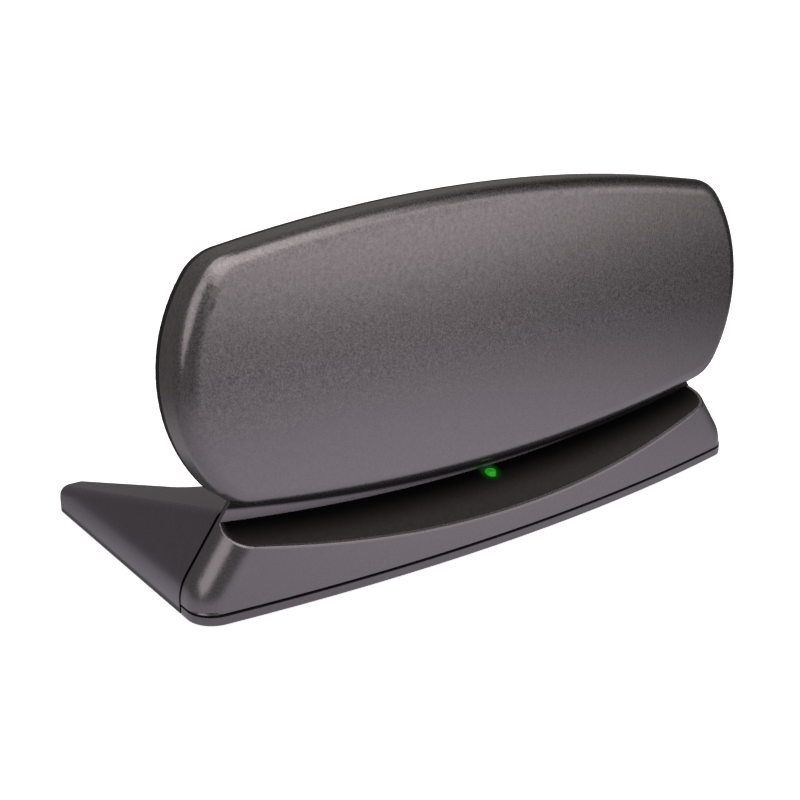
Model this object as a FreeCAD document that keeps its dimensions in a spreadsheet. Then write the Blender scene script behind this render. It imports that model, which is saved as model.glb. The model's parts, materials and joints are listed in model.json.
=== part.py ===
"""Indoor UHF television antenna: a barrel-shaped panel that stands in a low base with two rear legs.

Millimetres, X across the width, +Y to the rear, +Z up. The origin lies under the middle of the
base, on the surface that the rubber feet stand on. The base is drawn from the underside of its
plate and lifted by the feet; the panel is drawn flat, with +Y as its thickness, and leaned back.
"""
import FreeCAD
import Part
import Sketcher
import math
import os
import re
from FreeCAD import Placement, Rotation, Vector

SIZES = {
    # base, seen from above
    "base_end_inset": 0.5,
    "base_depth": 124.0,
    "front_bow": 10.1,
    "front_corner_radius": 10.0,
    "front_shell_depth": 23.0,
    "body_depth": 54.0,
    "leg_root_width": 33.0,
    "leg_tip_width": 11.5,
    "notch_corner_radius": 30.0,
    "leg_tip_radius": 4.5,
    # base, seen from the front and from the side
    "side_height": 9.2,
    "side_slant": 36.0,
    "side_radius": 15.0,
    "front_lean": 6.3,
    "ridge_height": 31.5,
    "leg_tip_height": 9.0,
    "shell_wall": 2.4,
    "lip_thickness": 2.0,
    "plate_thickness": 2.8,
    "plate_groove": 0.9,
    "rim_width": 1.3,
    "rim_radius": 0.9,
    "fold_radius": 4.0,
    # trough
    "ramp_height": 20.4,
    "ramp_radius": 714.0,
    "ramp_slope": 24.7,
    "liner_thickness": 1.6,
    # neck behind the panel
    "neck_width": 48.0,
    "neck_height": 22.0,
    "neck_depth": 10.0,
    "neck_bore_width": 14.0,
    "neck_radius": 3.0,
    # panel
    "panel_width": 251.0,
    "panel_height": 97.6,
    "panel_long_radius": 626.0,
    "panel_end_radius": 55.0,
    "panel_corner_radius": 17.7,
    "panel_edge_radius": 6.0,
    "panel_wall": 2.2,
    "front_cover_depth": 14.6,
    "rear_cover_thickness": 2.9,
    "rear_edge_radius": 0.5,
    "rear_lip_height": 2.0,
    "rear_lip_thickness": 1.6,
    "panel_tilt": 4.0,
    "panel_foot_height": 27.2,
    "panel_setback": 11.7,
    # fits
    "fit_gap": 0.15,
    "seam_gap": 0.7,
    "seat_gap": 0.2,
    "hole_gap": 0.15,
    # panel contents
    "corner_screw_inset": 25.0,
    "corner_screw_rise": 27.0,
    "middle_screw_reach": 48.0,
    "middle_screw_inset": 10.0,
    "boss_diameter": 7.0,
    "post_height": 5.8,
    "post_diameter": 5.0,
    "pin_diameter": 2.6,
    "pin_height": 2.4,
    "radiator_thickness": 0.8,
    "radiator_gap": 5.0,
    "radiator_end_inset": 19.0,
    "radiator_root": 18.0,
    "radiator_end": 46.0,
    "radiator_corner_radius": 6.0,
    "pin_inset": 20.5,
    "pin_rise": 13.0,
    "feed_screw_reach": 11.0,
    "feed_board_width": 40.0,
    "feed_board_height": 24.0,
    "board_thickness": 1.6,
    # base contents
    "standoff_height": 4.0,
    "standoff_diameter": 6.0,
    "amplifier_width": 84.0,
    "amplifier_rear_gap": 3.6,
    "amplifier_front": 7.0,
    "amplifier_hole_inset": 5.0,
    "window_side_gap": 3.0,
    "window_height": 15.0,
    "can_width": 30.0,
    "can_depth": 14.0,
    "can_height": 5.0,
    "can_wall": 0.4,
    "can_offset": 24.0,
    "light_diameter": 4.2,
    "light_setback": 2.9,
    "light_rise": 1.0,
    "diode_diameter": 3.0,
    "diode_height": 4.4,
    "lead_diameter": 2.6,
    "lead_bend": 4.0,
    "lead_gap": 0.6,
    "lead_end_rise": 8.0,
    # aerial connector
    "barrel_diameter": 9.5,
    "barrel_length": 7.5,
    "collar_diameter": 11.0,
    "collar_proud": 0.5,
    "relief_diameter": 8.8,
    "relief_width": 0.8,
    "barrel_bore": 7.0,
    "barrel_bore_depth": 11.0,
    "connector_block": 12.0,
    "connector_block_depth": 10.0,
    "contact_diameter": 2.0,
    "contact_bore": 1.0,
    "insulator_depth": 8.0,
    "washer_diameter": 15.5,
    "washer_thickness": 0.8,
    "nut_width": 14.0,
    "nut_thickness": 2.5,
    # screws and feet
    "screw_diameter": 3.0,
    "screw_length": 10.0,
    "screw_head_diameter": 5.6,
    "screw_head_height": 1.8,
    "small_screw_length": 4.8,
    "recess_span": 2.9,
    "recess_width": 0.8,
    "recess_depth": 0.9,
    "base_screw_inset": 7.5,
    "base_screw_front": 15.0,
    "front_boss_height": 14.0,
    "leg_screw_inset": 12.0,
    "leg_screw_rear": 40.0,
    "centre_screw_reach": 60.0,
    "foot_diameter": 10.0,
    "foot_thickness": 2.0,
    "foot_stand": 0.8,
    "foot_edge_radius": 0.5,
    "front_foot_inset": 22.0,
    "front_foot_setback": 17.0,
    "rear_foot_inset": 9.8,
    "rear_foot_forward": 27.0,
}

document = FreeCAD.newDocument("uhf_antenna")
sheet = document.addObject("Spreadsheet::Sheet", "Sizes")
for row, (alias, number) in enumerate(SIZES.items(), 1):
    sheet.set(f"A{row}", alias.replace("_", " "))
    sheet.set(f"B{row}", str(number))
    sheet.setAlias(f"B{row}", alias)
document.recompute()

# Places that several pieces share, written as texts in the sheet's names
HALF_WIDTH = "(panel_width / 2 - base_end_inset)"
FRONT = "(-base_depth / 2)"
REAR = "(base_depth / 2)"
BOW_RADIUS = f"(({HALF_WIDTH} ^ 2 + front_bow ^ 2) / (2 * front_bow))"
SEAM = "(front_shell_depth - base_depth / 2)"
REAR_START = f"({SEAM} + seam_gap)"
LIP_FACE = "(front_shell_depth - base_depth / 2 - lip_thickness)"
NOTCH_FLOOR = "(body_depth - base_depth / 2)"
PANEL_DEPTH = "(front_cover_depth + rear_cover_thickness)"
PANEL_FRONT = "(panel_setback - base_depth / 2)"
PANEL_CENTRE = "(panel_foot_height + panel_height / 2)"
RADIATOR_SEAT = "(panel_wall + post_height)"
FEED_SEAT = "(panel_wall + post_height + radiator_thickness)"
FEED_BACK = "(panel_wall + post_height + radiator_thickness + board_thickness)"
BOARD_SEAT = "(plate_thickness + standoff_height)"
BOARD_TOP = "(plate_thickness + standoff_height + board_thickness)"
BOARD_FRONT = "(amplifier_front - base_depth / 2)"
CONNECTOR_WALL = f"({NOTCH_FLOOR} - shell_wall)"
BOARD_REAR = f"({CONNECTOR_WALL} - amplifier_rear_gap)"
CONNECTOR_AXIS = f"({BOARD_TOP} + connector_block / 2)"
LIGHT_PLACE = f"({LIP_FACE} - light_setback)"
NECK_TOP = "(panel_foot_height + neck_height)"
MOUNT_RISE = "(neck_height / 2 - panel_height / 2)"
FAR = "(panel_width + base_depth)"
PAST = "(base_depth / 6)"
FAR_SIDE = f"({HALF_WIDTH} + {PAST})"
WEDGE_FALL = f"((ridge_height - leg_tip_height) / ({REAR} - {SEAM}))"
PLATE_INSET = "(shell_wall + fit_gap)"
RAMP_WAY = ("-cos(ramp_slope)", "-sin(ramp_slope)")

# Lengths that decide whether two places agree, and whether an edge is more than a sliver
CLOSE = 1e-3
SHORT = 0.3


def tied(text):
    """The text with each size's name pointing at its cell in the sheet."""
    return re.sub(r"[a-z_]+", lambda word: "Sizes." + word[0] if word[0] in SIZES else word[0], text)


def value(text):
    """The number that a text in the sheet's names stands for."""
    return float(sheet.evalExpression(tied(text)))


def bind(thing, path, text):
    """Tie one property of an object to a text in the sheet's names."""
    thing.setExpression(path, tied(text))


def new_body(label, lift="foot_stand"):
    """An empty body, raised by the height that the feet stand proud."""
    body = document.addObject("PartDesign::Body", label)
    body.Label = label
    bind(body, "Placement.Base.z", lift)
    return body


def new_panel_body(label):
    """An empty body in the panel's own frame: +Y through its thickness, leaned back by the tilt."""
    body = new_body(label, f"foot_stand + {PANEL_CENTRE}")
    body.Placement = Placement(Vector(), Rotation(Vector(1, 0, 0), -value("panel_tilt")))
    bind(body, "Placement.Base.y", PANEL_FRONT)
    bind(body, "Placement.Rotation.Angle", "-panel_tilt")
    return body


def new_sketch(body, name, plane, away="0"):
    """An empty sketch on one of the body's own planes, moved away along that plane's normal."""
    sketch = body.newObject("Sketcher::SketchObject", body.Name + "_" + name)
    support = [face for face in body.Origin.OriginFeatures if face.Role == plane + "_Plane"][0]
    sketch.AttachmentSupport = [(support, "")]
    sketch.MapMode = "FlatFace"
    bind(sketch, "AttachmentOffset.Base.z", away)
    return sketch


def front_sketch(body, name, y="0"):
    """A sketch seen from the front, with X to the right and Z up, at depth y."""
    return new_sketch(body, name, "XZ", f"-({y})")


def bind_datum(sketch, constraint, text):
    """Add a constraint and tie its number to a text."""
    index = sketch.addConstraint(constraint)
    sketch.setExpression(f"Constraints[{index}]", tied(text))


def fix_point(sketch, edge, end, x, y):
    """Hold one end of an edge at the coordinates that two texts give."""
    bind_datum(sketch, Sketcher.Constraint("DistanceX", -1, 1, edge, end, value(x)), x)
    bind_datum(sketch, Sketcher.Constraint("DistanceY", -1, 1, edge, end, value(y)), y)


def outline(sketch, corners, arcs=None):
    """A closed outline through the corners; arcs names the edges that are arcs, with their radius.

    An arc's centre lies to the left of the way from its first corner to its second.
    """
    arcs = arcs or {}
    points = [Vector(value(x), value(y), 0) for x, y in corners]
    count = len(points)
    first = sketch.GeometryCount
    for place, start in enumerate(points):
        end = points[(place + 1) % count]
        if place not in arcs:
            sketch.addGeometry(Part.LineSegment(start, end))
            continue
        radius = value(arcs[place])
        half = (end - start) * 0.5
        across = Vector(-half.y, half.x, 0).normalize()
        centre = start + half + across * math.sqrt(radius ** 2 - half.Length ** 2)
        circle = Part.Circle(centre, Vector(0, 0, 1), radius)
        sketch.addGeometry(Part.ArcOfCircle(circle, circle.parameter(start), circle.parameter(end)))
    for place, (x, y) in enumerate(corners):
        following = first + (place + 1) % count
        sketch.addConstraint(Sketcher.Constraint("Coincident", first + place, 2, following, 1))
        fix_point(sketch, first + place, 1, x, y)
    for place, radius in arcs.items():
        bind_datum(sketch, Sketcher.Constraint("Radius", first + place, value(radius)), radius)
    return sketch


def rectangle(sketch, left, low, right, high):
    """A rectangle between two corners."""
    return outline(sketch, [(left, low), (right, low), (right, high), (left, high)])


def circles(sketch, centres, diameter):
    """A circle of one diameter at each centre."""
    for x, y in centres:
        radius = f"({diameter}) / 2"
        circle = Part.Circle(Vector(value(x), value(y), 0), Vector(0, 0, 1), value(radius))
        edge = sketch.addGeometry(circle)
        fix_point(sketch, edge, 3, x, y)
        bind_datum(sketch, Sketcher.Constraint("Radius", edge, value(radius)), radius)
    return sketch


def barrel(sketch, inset):
    """The panel's outline, moved inwards by inset: two long arcs, two end arcs and four corner arcs.

    A corner's centre lies where the long and the end arc, both moved in by its radius, cross.
    """
    drop = "(panel_height / 2 - panel_long_radius)"
    reach = "(panel_width / 2 - panel_end_radius)"
    long_radius = f"(panel_long_radius - ({inset}))"
    end_radius = f"(panel_end_radius - ({inset}))"
    corner_radius = f"(panel_corner_radius - ({inset}))"
    up = Vector(0, 0, 1)
    long_centre, end_centre = Vector(0, value(drop), 0), Vector(value(reach), 0, 0)
    long_track = Part.Circle(long_centre, up, value("panel_long_radius - panel_corner_radius"))
    end_track = Part.Circle(end_centre, up, value("panel_end_radius - panel_corner_radius"))
    crossings = [Vector(point.X, point.Y, 0) for point in long_track.intersect(end_track)]
    corner = max(crossings, key=lambda point: point.x + point.y)
    on_long = long_centre + (corner - long_centre).normalize() * value(long_radius)
    on_end = end_centre + (corner - end_centre).normalize() * value(end_radius)

    def flipped(point, side, level):
        return Vector(point.x * side, point.y * level, 0)

    first = sketch.GeometryCount
    for side, level in ((1, 1), (-1, 1), (-1, -1), (1, -1)):
        ends = [flipped(on_end, side, level), flipped(on_long, side, level)]
        over = [flipped(on_long, side, level), flipped(on_long, -side, level)]
        big, radius = flipped(long_centre, side, level), long_radius
        if side * level < 0:
            ends.reverse()
            over = [flipped(on_end, side, level), flipped(on_end, side, -level)]
            big, radius = flipped(end_centre, side, level), end_radius
        small = Part.Circle(flipped(corner, side, level), up, value(corner_radius))
        sketch.addGeometry(Part.ArcOfCircle(small, *[small.parameter(point) for point in ends]))
        large = Part.Circle(big, up, value(radius))
        sketch.addGeometry(Part.ArcOfCircle(large, *[large.parameter(point) for point in over]))
    centres = [("0", drop), (f"-{reach}", "0"), ("0", f"-{drop}"), (reach, "0")]
    for turn, (x, y) in enumerate(centres):
        small, large = first + 2 * turn, first + 2 * turn + 1
        following = first + (2 * turn + 2) % 8
        sketch.addConstraint(Sketcher.Constraint("Tangent", small, 2, large, 1))
        sketch.addConstraint(Sketcher.Constraint("Tangent", large, 2, following, 1))
        fix_point(sketch, large, 3, x, y)
        radius = end_radius if turn % 2 else long_radius
        bind_datum(sketch, Sketcher.Constraint("Radius", large, value(radius)), radius)
        bind_datum(sketch, Sketcher.Constraint("Radius", small, value(corner_radius)), corner_radius)
    return sketch


def extrude(kind, sketch, length, back=False, both=False, along=None):
    """Pad or Pocket of a sketch; along gives an oblique direction as two texts, for Y and Z."""
    body = sketch.getParentGeoFeatureGroup()
    feature = body.newObject("PartDesign::" + kind, sketch.Name + "_" + kind.lower())
    feature.Profile = sketch
    feature.Reversed = back
    if both:
        feature.SideType = "Symmetric"
    if along:
        feature.UseCustomVector = True
        feature.Direction = Vector(0, value(along[0]), value(along[1]))
        bind(feature, "Direction.y", along[0])
        bind(feature, "Direction.z", along[1])
    bind(feature, "Length", length)
    document.recompute()
    return feature


def pad(sketch, length, **how):
    """Material added on a sketch."""
    return extrude("Pad", sketch, length, **how)


def pocket(sketch, length, **how):
    """Material cut away over a sketch, which must take something from the body."""
    body = sketch.getParentGeoFeatureGroup()
    before = body.Shape.Volume
    feature = extrude("Pocket", sketch, length, **how)
    if not body.Shape.Volume < before - CLOSE:
        raise RuntimeError(feature.Name + " cuts nothing")
    return feature


def edges_where(shape, test):
    """Names of the edges whose box and shape pass a test."""
    return [f"Edge{n}" for n, edge in enumerate(shape.Edges, 1) if test(edge, edge.BoundBox)]


def along_y(edge, box):
    """Whether an edge is straight and runs from front to rear."""
    return box.YLength > SHORT and box.XLength < CLOSE and box.ZLength < CLOSE


def upright(edge, box):
    """Whether an edge is straight and vertical."""
    return box.ZLength > SHORT and box.XLength < CLOSE and box.YLength < CLOSE


def soften(body, name, test, radius, kind="Fillet"):
    """Fillet, or chamfer, on the edges of the body's last feature that pass a test."""
    base = body.Tip
    names = edges_where(base.Shape, test)
    if not names:
        raise RuntimeError(body.Name + " has no edge for " + name)
    feature = body.newObject("PartDesign::" + kind, body.Name + "_" + name)
    feature.Base = (base, names)
    bind(feature, "Size" if kind == "Chamfer" else "Radius", radius)
    document.recompute()
    return feature


def combine(kind, name, *parts):
    """Cut, Fuse or Common of objects, the first against the others."""
    many = {"Fuse": "MultiFuse", "Common": "MultiCommon"}
    if kind == "Cut":
        joined = document.addObject("Part::Cut", name)
        joined.Base, joined.Tool = parts
    else:
        joined = document.addObject("Part::" + many[kind], name)
        joined.Shapes = list(parts)
    joined.Refine = True
    document.recompute()
    return joined


def pegs(label, places, diameter, low, high):
    """Upright round pegs of one diameter between two heights, used as bosses and as holes."""
    body = new_body(label)
    body.AllowCompound = True
    pad(circles(new_sketch(body, "rounds", "XY", low), places, diameter), f"{high} - ({low})")
    return body


def mirrored(x, y):
    """A place and its mirror image across the middle."""
    return [(x, y), (f"-({x})", y)]


nodes = []


def node(label, thing):
    """Keep an object as a piece of the antenna under its name."""
    thing.Label = label
    nodes.append(thing)
    return thing


# Panel covers and what they hold

CORNER_SCREWS = [
    (f"{side}(panel_width / 2 - corner_screw_inset)", f"{level}corner_screw_rise")
    for side in ("", "-") for level in ("", "-")
]
MIDDLE_SCREWS = [
    (f"{side}middle_screw_reach", f"{level}(panel_height / 2 - middle_screw_inset)")
    for side in ("", "-") for level in ("", "-")
]
COVER_SCREWS = CORNER_SCREWS + MIDDLE_SCREWS
PIN_REACH = "(panel_width / 2 - radiator_end_inset - pin_inset)"
RADIATOR_PINS = [
    (f"{side}{PIN_REACH}", f"{level}pin_rise") for side in ("", "-") for level in ("", "-")
]
FEED_SCREWS = mirrored("feed_screw_reach", "0")
MOUNT_SCREWS = mirrored("(neck_width + neck_bore_width) / 4", MOUNT_RISE)


def barrel_blank(label, inset, depth, start="0"):
    """A solid block of the panel's outline."""
    body = new_panel_body(label)
    pad(barrel(front_sketch(body, "outline", start), inset), depth, back=True)
    return body


def panel_front_cover():
    """Deep front shell with a rounded edge, screw bosses and the posts that carry the radiators."""
    body = barrel_blank("panel_front_cover", "0", "front_cover_depth")
    soften(body, "edge", lambda edge, box: box.YMax < CLOSE, "panel_edge_radius")
    hollow = barrel(front_sketch(body, "hollow", "panel_wall"), "panel_wall")
    pocket(hollow, "front_cover_depth")
    floor = value("panel_wall")
    soften(body, "hollow_edge",
           lambda edge, box: abs(box.YMin - floor) < CLOSE and box.YLength < CLOSE,
           "panel_edge_radius - panel_wall")
    root = "panel_wall / 2"
    bosses = circles(front_sketch(body, "bosses", root), COVER_SCREWS, "boss_diameter")
    pad(bosses, f"front_cover_depth - {root}", back=True)
    posts = circles(front_sketch(body, "posts", root), RADIATOR_PINS + FEED_SCREWS, "post_diameter")
    pad(posts, f"{RADIATOR_SEAT} - {root}", back=True)
    pins = circles(front_sketch(body, "pins", root), RADIATOR_PINS, "pin_diameter")
    pad(pins, f"{RADIATOR_SEAT} + pin_height - {root}", back=True)
    pilots = circles(front_sketch(body, "pilots", f"{PANEL_DEPTH} - screw_length"), COVER_SCREWS,
                     "screw_diameter")
    pocket(pilots, "screw_length")
    feeds = circles(front_sketch(body, "feeds", f"{FEED_BACK} - small_screw_length"), FEED_SCREWS,
                    "screw_diameter")
    pocket(feeds, "small_screw_length")
    return body


def panel_rear_cover():
    """Flat rear cover with a locating lip, countersunk screw holes and a hole for the lead."""
    body = barrel_blank("panel_rear_cover", "0", "rear_cover_thickness", "front_cover_depth")
    back = value(PANEL_DEPTH)
    soften(body, "edge", lambda edge, box: box.YMin > back - CLOSE, "rear_edge_radius")
    lip = front_sketch(body, "lip", "front_cover_depth - rear_lip_height")
    barrel(lip, "panel_wall + fit_gap")
    barrel(lip, "panel_wall + fit_gap + rear_lip_thickness")
    pad(lip, "rear_lip_height", back=True)
    shank = "screw_diameter + 2 * hole_gap"
    holes = front_sketch(body, "holes", "front_cover_depth")
    circles(holes, COVER_SCREWS + MOUNT_SCREWS, shank)
    circles(holes, [("0", MOUNT_RISE)], "lead_diameter + 2 * lead_gap")
    pocket(holes, "rear_cover_thickness")
    spots = [Vector(value(x), 0, value(z)) for x, z in COVER_SCREWS]
    limit = value(shank)

    def rear_rim(edge, box):
        middle = Vector(box.Center.x, 0, box.Center.z)
        near = min((middle - spot).Length for spot in spots) < CLOSE
        return near and box.YMin > back - CLOSE and box.XLength < limit + CLOSE

    soften(body, "countersinks", rear_rim, "(screw_head_diameter - screw_diameter) / 2 - hole_gap / 2",
           "Chamfer")
    return body


def radiator(label, side):
    """Stamped bow-tie half that widens from the feed to the panel's end."""
    body = new_panel_body(label)
    sketch = front_sketch(body, "blade", RADIATOR_SEAT)
    near = f"{side}(radiator_gap / 2)"
    far = f"{side}(panel_width / 2 - radiator_end_inset)"
    outline(sketch, [(near, "-radiator_root / 2"), (far, "-radiator_end / 2"),
                     (far, "radiator_end / 2"), (near, "radiator_root / 2")])
    pad(sketch, "radiator_thickness", back=True)
    soften(body, "corners", along_y, "radiator_corner_radius")
    holes = front_sketch(body, "holes", RADIATOR_SEAT)
    circles(holes, [(f"{side}{PIN_REACH}", "pin_rise"), (f"{side}{PIN_REACH}", "-pin_rise")],
            "pin_diameter + 2 * hole_gap")
    circles(holes, [(f"{side}feed_screw_reach", "0")], "screw_diameter + 2 * hole_gap")
    pocket(holes, "radiator_thickness")
    return body


def feed_board():
    """Small board that joins both radiators to the lead."""
    body = new_panel_body("feed_board")
    sketch = front_sketch(body, "board", FEED_SEAT)
    rectangle(sketch, "-feed_board_width / 2", "-feed_board_height / 2",
              "feed_board_width / 2", "feed_board_height / 2")
    circles(sketch, FEED_SCREWS, "screw_diameter + 2 * hole_gap")
    pad(sketch, "board_thickness", back=True)
    return body


# Screws

def screw(label, length, countersunk):
    """A cross-recessed screw along Z, its bearing plane or flush top at zero, pointing down."""
    body = document.addObject("PartDesign::Body", label)
    sketch = new_sketch(body, "half", "XZ")
    slim = "screw_diameter / 2 - hole_gap"
    wide = "screw_head_diameter / 2 - hole_gap"
    if countersunk:
        top = "0"
        corners = [("0", "0"), ("0", f"-({length})"), (slim, f"-({length})"),
                   (slim, f"-({wide} - ({slim}))"), (wide, "0")]
    else:
        top = "screw_head_height"
        corners = [("0", top), ("0", f"-({length})"), (slim, f"-({length})"), (slim, "0"),
                   (wide, "0"), (wide, top)]
    outline(sketch, corners)
    turned = body.newObject("PartDesign::Revolution", label + "_turned")
    turned.Profile = sketch
    turned.ReferenceAxis = (sketch, ["V_Axis"])
    turned.Angle = 360
    document.recompute()
    arm = "recess_span / 2"
    half = "recess_width / 2"
    cross = new_sketch(body, "cross", "XY", top)
    outline(cross, [(f"-{arm}", f"-{half}"), (f"-{half}", f"-{half}"), (f"-{half}", f"-{arm}"),
                    (half, f"-{arm}"), (half, f"-{half}"), (arm, f"-{half}"), (arm, half),
                    (half, half), (half, arm), (f"-{half}", arm), (f"-{half}", half), (f"-{arm}", half)])
    pocket(cross, "recess_depth")
    return body


def screw_group(label, pattern, places):
    """Copies of one screw, one at each placement, as one group of solids."""
    group = document.addObject("Part::Feature", label)
    copies = []
    for place in places:
        copy = pattern.Shape.copy()
        copy.Placement = place.multiply(copy.Placement)
        copies.append(copy)
    group.Shape = Part.makeCompound(copies)
    return group


def panel_place(x, y, z, turn):
    """Placement of something in the panel's frame, turned about X."""
    origin = Vector(0, value(PANEL_FRONT), value(f"foot_stand + {PANEL_CENTRE}"))
    frame = Placement(origin, Rotation(Vector(1, 0, 0), -value("panel_tilt")))
    return frame.multiply(Placement(Vector(value(x), value(y), value(z)), Rotation(Vector(1, 0, 0), turn)))


# Base shells

def cross_section(sketch, inset, low, top):
    """The base seen from the front: upright ends that turn into slanted sides, moved in by inset."""
    end = f"({HALF_WIDTH} - ({inset}))"
    knee = f"(side_height - ({inset}) * tan(side_slant / 2))"
    shoulder = f"({end} - ({top} - {knee}) * tan(side_slant))"
    return outline(sketch, [(f"-{end}", low), (end, low), (end, knee), (shoulder, top),
                            (f"-{shoulder}", top), (f"-{end}", knee)])


def front_blank(label, inset, start, low):
    """Front part of the base as a solid: its section carried forward to the bowed, leaning front."""
    body = new_body(label)
    section = cross_section(front_sketch(body, "section", start), inset, low, NECK_TOP)
    pad(section, f"front_shell_depth + {PAST}")
    knee = value(f"side_height - ({inset}) * tan(side_slant / 2)")
    soften(body, "sides", lambda edge, box: along_y(edge, box) and abs(box.ZMin - knee) < CLOSE,
           f"side_radius - ({inset})")
    bow = f"({BOW_RADIUS} - ({inset}))"
    edge_y = f"({FRONT} + {BOW_RADIUS} - sqrt({bow} ^ 2 - {FAR_SIDE} ^ 2))"
    ahead = new_sketch(body, "ahead", "XY", "0")
    outline(ahead, [(f"-{FAR_SIDE}", edge_y), (FAR_SIDE, edge_y), (FAR_SIDE, f"-{FAR}"),
                    (f"-{FAR_SIDE}", f"-{FAR}")], {0: bow})
    pocket(ahead, FAR, both=True, along=("sin(front_lean)", "cos(front_lean)"))
    rear = value(start)
    soften(body, "front_corners", lambda edge, box: box.ZLength > SHORT and box.YMax < rear - CLOSE,
           f"front_corner_radius - ({inset})")
    return body


def notch_places(inset, far):
    """Half width and depth of the notch's floor, and half width at depth far, widened by inset."""
    taper = "((leg_root_width - leg_tip_width) / (base_depth - body_depth))"
    spread = f"(({inset}) * (sqrt(1 + {taper} ^ 2) - {taper}))"
    floor_half = f"({HALF_WIDTH} - leg_root_width + {spread})"
    floor = f"({NOTCH_FLOOR} - ({inset}))"
    return floor_half, floor, f"({floor_half} + ({far} - {floor}) * {taper})"


def rear_blank(label, inset, start, low):
    """Rear part of the base as a solid: a wedge with a wide notch that leaves two tapering legs."""
    body = new_body(label)
    section = cross_section(front_sketch(body, "section", start), inset, low, NECK_TOP)
    pad(section, f"{REAR} - ({inset}) - ({start})", back=True)
    knee = value(f"side_height - ({inset}) * tan(side_slant / 2)")
    soften(body, "sides", lambda edge, box: along_y(edge, box) and abs(box.ZMin - knee) < CLOSE,
           f"side_radius - ({inset})")
    fall = WEDGE_FALL
    drop = f"(({inset}) * sqrt(1 + {fall} ^ 2))"
    slope = new_sketch(body, "slope", "YZ")
    near = f"({SEAM} - {PAST})"
    far = f"({REAR} + {PAST})"
    outline(slope, [(near, f"ridge_height + {PAST} * {fall} - {drop}"),
                    (far, f"leg_tip_height - {PAST} * {fall} - {drop}"), (far, FAR), (near, FAR)])
    pocket(slope, FAR + " * 2", both=True)
    notch = new_sketch(body, "notch", "XY")
    floor_half, floor, mouth_half = notch_places(inset, far)
    outline(notch, [(f"-{mouth_half}", far), (f"-{floor_half}", floor), (floor_half, floor),
                    (mouth_half, far)])
    pocket(notch, FAR, both=True)
    corner = value(floor)
    soften(body, "notch_corners", lambda edge, box: upright(edge, box) and abs(box.YMin - corner) < CLOSE,
           f"notch_corner_radius + ({inset})")
    return body


def panel_back(height, extra):
    """Depth of the panel's rear face, moved back by extra, at a height above the plate's underside."""
    return (f"({PANEL_FRONT} + ({PANEL_DEPTH} + {extra}) / cos(panel_tilt)"
            f" + (({height}) - {PANEL_CENTRE}) * tan(panel_tilt))")


def neck(label, inset, width, low):
    """The upright neck behind the panel, its front parallel to the panel's rear face."""
    body = new_body(label)
    top = f"({NECK_TOP} - ({inset}))"
    side = new_sketch(body, "side", "YZ")
    gap = f"(seat_gap + ({inset}))"
    depth = f"(neck_depth - 2 * ({inset}))"
    front_low, front_top = panel_back(low, gap), panel_back(top, gap)
    outline(side, [(front_low, low), (f"{front_low} + {depth}", low), (f"{front_top} + {depth}", top),
                   (front_top, top)])
    pad(side, width, both=True)
    return body


def round_neck(body):
    """Round the neck's top and its rear corners; its front edges stay sharp against the panel."""
    top = value(NECK_TOP)

    def away_from_panel(edge, box):
        middle = value(panel_back(f"{box.Center.z}", "seat_gap + neck_depth / 2"))
        behind = box.Center.y > middle + CLOSE
        upper = box.ZMin > top - CLOSE
        rear_corner = behind and box.ZLength > SHORT
        top_edge = upper and (behind or box.XLength < CLOSE)
        return rear_corner or top_edge

    soften(body, "rounding", away_from_panel, "neck_radius")


def ramp_space(label, drop):
    """Everything above the trough's ramp moved down by drop, ahead of the lip's front face."""
    body = new_body(label)
    low = f"(ramp_height - ({drop}))"
    end = f"({low} + ramp_radius - sqrt(ramp_radius ^ 2 - {FAR_SIDE} ^ 2))"
    section = front_sketch(body, "section", LIP_FACE)
    outline(section, [(f"-{FAR_SIDE}", end), (FAR_SIDE, end), (FAR_SIDE, FAR), (f"-{FAR_SIDE}", FAR)],
            {0: "ramp_radius"})
    pad(section, f"front_shell_depth + {PAST}", along=RAMP_WAY)
    return body


FRONT_SCREWS = mirrored(f"({HALF_WIDTH} - base_screw_inset)", f"({FRONT} + base_screw_front)")
LEG_SCREWS = mirrored(f"({HALF_WIDTH} - leg_screw_inset)", f"({REAR} - leg_screw_rear)")
CENTRE_SCREWS = mirrored("centre_screw_reach", f"(({SEAM} + {NOTCH_FLOOR}) / 2)")
SCREW_TIP = "(screw_length + hole_gap)"


def round_rim(shell, outer):
    """Round the outer edge of the rim, where the ramp's surface meets the outside of the shell."""
    slope = math.tan(math.radians(value("ramp_slope")))
    radius = value("ramp_radius")
    skin = outer.Shape.Shells[0]
    choice = []
    for number, edge in enumerate(shell.Shape.Edges, 1):
        spot = edge.valueAt(edge.getParameterByLength(edge.Length / 2))
        ramp = value("foot_stand + ramp_height") + (spot.y - value(LIP_FACE)) * slope
        ramp += radius - math.sqrt(radius ** 2 - spot.x ** 2)
        on_skin = skin.distToShape(Part.Vertex(spot))[0] < CLOSE
        if abs(spot.z - ramp) < CLOSE and on_skin and spot.y < value(LIP_FACE) - CLOSE:
            choice.append((number, value("rim_radius"), value("rim_radius")))
    rounded = document.addObject("Part::Fillet", "front_rim_round")
    rounded.Base = shell
    rounded.Edges = choice
    document.recompute()
    return rounded


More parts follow.
